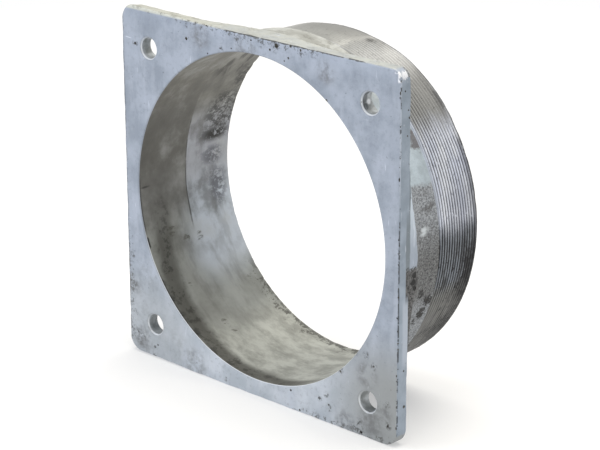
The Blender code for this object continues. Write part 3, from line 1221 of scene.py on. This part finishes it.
scrape = skin.cloud_spot(scrape_cloud, 0.42, 0.54, (0.0964, 0.0225, 0.0113), 0.001, 0.0036, (1, 0.7, 1))
skin.paint(shade(206, 212, 216), scrape)
skin.bump(grain, 0.0005)
cast_skin = skin.finish(0.6)
skin.tell("the marks")

# %% [markdown]
# ## The thread
#
# The crests are rubbed bright and carry a painted highlight, and the grooves hold
# dirt and painted shade, which is why a thread reads as fine stripes from a
# distance. The radius alone tells crest from groove. The stripes are crisp and
# blue-white at the right, black a little lower, and brown and worn below that.
# Above, they turn grey-brown, then one band is painted paler as painted light, and
# at the top the zinc has filled the grooves. Each stretch has one tone for its
# crests and one for its grooves, laid over the stretches before it.

# %% Mix the thread's stripes
thread = Finish("thread_zinc", metallic=0.4)
stretch_marks = thread.cloud(0.004, detail=4, scale=(0.3, 1, 0.3))
grit = thread.cloud(0.0013, detail=4, roughness=0.65, offset=6)
smudges = thread.cloud(0.003, detail=5, roughness=0.65, scale=(0.25, 1, 0.25), offset=12)
drawn_out = thread.mask(stretch_marks, 0.35, 0.7)
# Crest tones carry a painted highlight and groove tones painted shade, as well as wear and dirt.
crest = thread.mix(drawn_out, shade(222, 227, 241), shade(246, 249, 255))
groove = thread.mix(drawn_out, shade(60, 62, 73), shade(96, 98, 110))

shoulder_cloud = thread.plus(thread.times(stretch_marks, 0.006), thread.times(smudges, 0.010))
shoulder_height = thread.plus(thread.height, shoulder_cloud)
wave_cloud = thread.cloud(0.010, detail=4, scale=(1, 1.5, 1), offset=13)
wavy_height = thread.ragged(thread.height, wave_cloud, 0.020)
grey_brown = thread.mask(shoulder_height, 0.057, 0.072)
# This band is painted paler, as painted light.
painted_highlight_band = thread.zone(height=(0.074, 0.086))
highest = thread.zone(height=(0.0860, 0.0950))
dark_part = thread.mask(wavy_height, 0.013, -0.001)
worn = thread.mask(wavy_height, -0.023, -0.037)
for stretch, crest_tone, crest_amount, groove_tone in (
    (grey_brown, shade(166, 166, 164), 1, shade(110, 110, 109)),
    (painted_highlight_band, shade(208, 208, 206), 1, shade(178, 178, 176)),
    (highest, shade(164, 165, 161), 1, shade(146, 146, 143)),
    (dark_part, shade(104, 110, 117), 0.9, shade(5, 5, 7)),
    (worn, shade(136, 137, 134), 1, shade(88, 88, 86)),
):
    crest = thread.mix(thread.times(stretch, crest_amount), crest, crest_tone)
    groove = thread.mix(stretch, groove, groove_tone)

clean_crest = thread.zone(radius=(0.09415, 0.0948))
dark_crest = thread.zone(radius=(0.0944, 0.0949))
on_crest = thread.mix(dark_part, clean_crest, dark_crest)
thread.colour = thread.mix(on_crest, groove, crest)
thread.tell("the stripes")

# %% [markdown]
# ## Dirt and painted light on the thread
#
# The undercut beside the neck is painted light at the side, as painted light in
# its shadow, and darker at the top, as painted shade. Smudges lie on the lower half
# and grit on all of it, and towards the rim the black part breaks up into a crust.
# The bright part has small nicks and painted glints instead. The clouds are drawn
# out round the duct, because a collar that is screwed on rubs in that direction.

# %% Dirty the thread and its rim
black_rim = thread.times(
    thread.zone(depth=(0.050, 0.063)),
    thread.mask(wavy_height, -0.001, -0.016),
    thread.mask(wavy_height, -0.044, -0.030),
)
dimmed = thread.times(
    thread.zone(height=(0.036, 0.018), depth=(0.038, 0.056)), thread.mask(wavy_height, -0.004, 0.008)
)
top_mark = thread.cloud_spot(grit, 0.40, 0.55, (0.0251, 0.0622, 0.0909), 0.0010, 0.0036, (0.7, 1, 1))
thread.paint(shade(52, 52, 55), black_rim, 0.45)
thread.paint(shade(104, 107, 118), dimmed, 0.32)
thread.paint(shade(96, 96, 94), top_mark, 0.8)
# The undercut is painted light at the side, as painted light in its shadow, and darker at the top, as
# painted shade.
thread.paint(shade(206, 212, 224), thread.zone(depth=(0.0402, 0.0392), height=(0.000, 0.020)))
thread.paint(shade(150, 150, 146), thread.zone(depth=(0.0402, 0.0392), height=(0.070, 0.080)))

rearward = thread.gather(smudges, thread.zone(depth=(0.052, 0.067)), 0.20)
smudged = thread.times(thread.zone(height=(0.010, -0.010)), thread.mask(rearward, 0.52, 0.62))
thread.paint(shade(38, 38, 38), smudged, 0.7)
thread.paint(shade(70, 70, 70), thread.mask(grit, 0.56, 0.70), 0.4)

rim_clouds = thread.patches(0.003, 0.36, 0.66, detail=6, roughness=0.72, scale=(0.4, 1, 0.4), offset=9)
rim_tone = thread.mix(rim_clouds, shade(146, 149, 154), shade(66, 66, 67))
thread.paint(rim_tone, thread.zone(depth=(0.0660, 0.0674)), 0.75)
by_rim = thread.zone(depth=(0.0610, 0.0690), height=(-0.030, -0.010, 0.070, 0.082))
thread.paint(shade(60, 60, 66), thread.times(by_rim, thread.mask(smudges, 0.40, 0.52)), 0.75)
crust = thread.cloud(0.0019, detail=5, roughness=0.68, scale=(0.7, 1, 0.7), offset=41)
crust = thread.mask(thread.gather(crust, thread.zone(depth=(0.050, 0.069)), 0.16), 0.585, 0.620)
thread.paint(shade(26, 26, 28), thread.times(crust, thread.zone(height=(0.002, -0.014))), 0.85)

nick_and_glint_cloud = thread.cloud(0.0016, detail=4, roughness=0.7, scale=(0.5, 1, 0.5), offset=33)
bright_part = thread.zone(height=(0.000, 0.012, 0.054, 0.066))
thread.paint(shade(112, 116, 130), thread.times(bright_part, thread.mask(nick_and_glint_cloud, 0.60, 0.66)), 0.6)
# Painted glints on the bright part.
thread.paint(shade(236, 240, 250), thread.times(bright_part, thread.mask(nick_and_glint_cloud, 0.40, 0.34)), 0.5)
thread.bump(grit, 0.00012)
thread_zinc = thread.finish(0.42)
thread.tell("the dirt")

# %% [markdown]
# ## Dirt in the pits
#
# Every pit that is taken out of the casting later has this dull brown dirt in it.
# It is the roughest of the finishes and hardly metallic, because the zinc didn't
# reach there. The deep pit in the neck is nearly black.

# %% Mix the dirt in the pits
pit = Finish("pit_dirt", metallic=0.1)
pit.colour = pit.mix(pit.patches(0.001, 0.4, 0.6), shade(64, 63, 60), shade(108, 107, 102))
pit.paint(shade(14, 14, 14), pit.spot(deep_pit_centre, 0.0020, 0.0030))
pit_dirt = pit.finish(0.8)
pit.tell("the deep pit")

# %% [markdown]
# ## Give each zone its finish
#
# The casting stays one mesh, and each face is given a finish by where it lies:
# the plate's face and sides with the drilled holes, the bore, the rough neck and
# the back of the plate, or the threaded band with its rim.

# %% Sort the faces into zones
on_plate, on_bore, on_neck, on_thread = range(4)
casting.data.materials.clear()
for material in (zinc_plate, bore_wall, cast_skin, thread_zinc):
    casting.data.materials.append(material)


def zone_of(centre, normal):
    """Which finish a face gets, from its middle and the way it looks."""
    radius, depth, _ = turned_place(centre)
    if radius < bore_radius_at(depth) + 0.0007 and depth > bore_chamfer:
        return on_bore
    near_bolt = (Vector((abs(centre.x), abs(centre.z))) - Vector((bolt_offset, bolt_offset))).length
    if near_bolt < bolt_hole_radius + 0.0002:
        return on_plate
    if depth > thread_start - 0.0007:
        return on_thread
    side_gap = plate_side / 2 - max(abs(centre.x), abs(centre.z))
    if normal.y < -0.2 or side_gap < 0.0004 or depth < plate_thickness - 0.001:
        return on_plate
    return on_neck


counts = [0, 0, 0, 0]
for face in casting.data.polygons:
    face.material_index = zone_of(face.center, face.normal)
    counts[face.material_index] += 1
print("faces in each zone:", counts)

# %% [markdown]
# ## Pits and nicks
#
# Gas in the metal leaves small pits, which the zinc doesn't fill and dirt does.
# They are real hollows here: little uneven balls are taken away from the surface,
# and the hollow keeps the ball's dirty finish. Most of them lie along the plate's
# upper edge and down its right-hand edge.

# %% Place single pits in the face
pit_room = 1.4
pit_unevenness = 0.35
face_pits_in_mm = [
    (16, 97.8, 1.3), (26, 99.2, 0.8), (33, 98.4, 0.7), (11.5, 95, 0.7), (24.4, 92.8, 0.7),
    (21.6, 90.8, 0.5), (-50, 90.3, 0.9), (-90, 81, 0.9), (-34, 85, 0.5), (-24.6, 89.4, 0.6),
    (-16.4, 90.8, 0.5), (-2, 97.6, 0.6), (50.7, 75.6, 0.8), (25.3, -89, 0.7), (45.6, -87.5, 0.5),
    (52.8, -89.3, 0.6), (93.9, -89.1, 0.8), (83.8, -58.9, 0.6), (61, -68, 0.7), (-78, -91.6, 0.6),
    (75.5, -98, 1.0), (31.9, -98.6, 0.7), (-80, -98.9, 0.6),
]
pits_bm = bmesh.new()
placed_pits = []


def add_pit(place, size, stretch=(1, 1, 1)):
    """A little uneven ball whose middle is near the surface, kept clear of the others."""
    middle = Vector(place)
    reach = size * max(stretch)
    for other_middle, other_reach in placed_pits:
        if (middle - other_middle).length < pit_room * (reach + other_reach):
            return
    placed_pits.append((middle, reach))
    ball = bmesh.ops.create_icosphere(pits_bm, subdivisions=2, radius=size)["verts"]
    for vertex in ball:
        vertex.co *= 1 + pit_unevenness * noise.noise(vertex.co / size * 1.3 + middle * 900)
        vertex.co *= Vector(stretch)
    bmesh.ops.translate(pits_bm, vec=place, verts=ball)


for x, z, size in face_pits_in_mm:
    add_pit((x / 1000, -0.0002, z / 1000), size / 1000)
print("pits in the face:", len(placed_pits))

# %% Scatter pits along the edges
shaker = Random(11)
close_row = 16
loose_row = 22
top_row = 20


def pit_length():
    """How long a scattered pit is: most are round, and a few are nearly three times as long."""
    return 1 + 1.8 * shaker.random() ** 2


for _ in range(close_row):
    height = shaker.uniform(-0.048, 0.020)
    across = shaker.uniform(0.0990, 0.1000)
    add_pit((across, 0.0002, height), shaker.uniform(0.00025, 0.00050), (1, 1, 1.3))
for _ in range(loose_row):
    height = shaker.uniform(-0.096, 0.094)
    length = pit_length()
    across = shaker.uniform(0.0990, 0.1001)
    add_pit((across, 0.0002, height), shaker.uniform(0.00022, 0.00045), (1, 1, length))
for _ in range(top_row):
    along = shaker.gauss(0.018, 0.034)
    length = pit_length()
    if abs(along) < 0.086:
        height = shaker.uniform(0.0990, 0.1000)
        add_pit((along, 0.0001, height), shaker.uniform(0.00025, 0.0005), (length, 1, 1))
print("pits with those along the edges:", len(placed_pits))

# %% Take the pits out of the casting
pitted_sharp_angle = radians(34)
neck_pits = [((0.0982, 0.0148, -0.0171), 0.0014), ((0.0938, 0.0295, -0.0285), 0.0011)]
side_pits = [
    ((0.1002, 0.0056, 0.079), 0.0006),
    ((0.1002, 0.0064, 0.075), 0.0007),
    ((0.1001, 0.0050, 0.066), 0.0005),
    ((0.1001, 0.0030, 0.089), 0.0005),
    ((0.1002, 0.0045, -0.058), 0.0006),
    ((0.1002, 0.0052, -0.078), 0.0009),
]
for place, size in neck_pits + side_pits:
    add_pit(place, size)
pits = keep_as_object("pits", pits_bm)
pits.data.materials.append(pit_dirt)
pit_faces = len(pits.data.polygons)
shape_with(casting, [(pits, "DIFFERENCE")])
casting.data.shade_smooth()
casting.data.set_sharp_from_angle(angle=pitted_sharp_angle)
print("pit faces taken away:", pit_faces, "finishes:", [slot.name for slot in casting.data.materials])

# %% [markdown]
# ## Hand over the casting
#
# The dressed casting stands for the packed solid and rides on its body.

# %% Replace the solid
casting.data.name = casting.name
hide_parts("duct_flange")
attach(casting, "root")
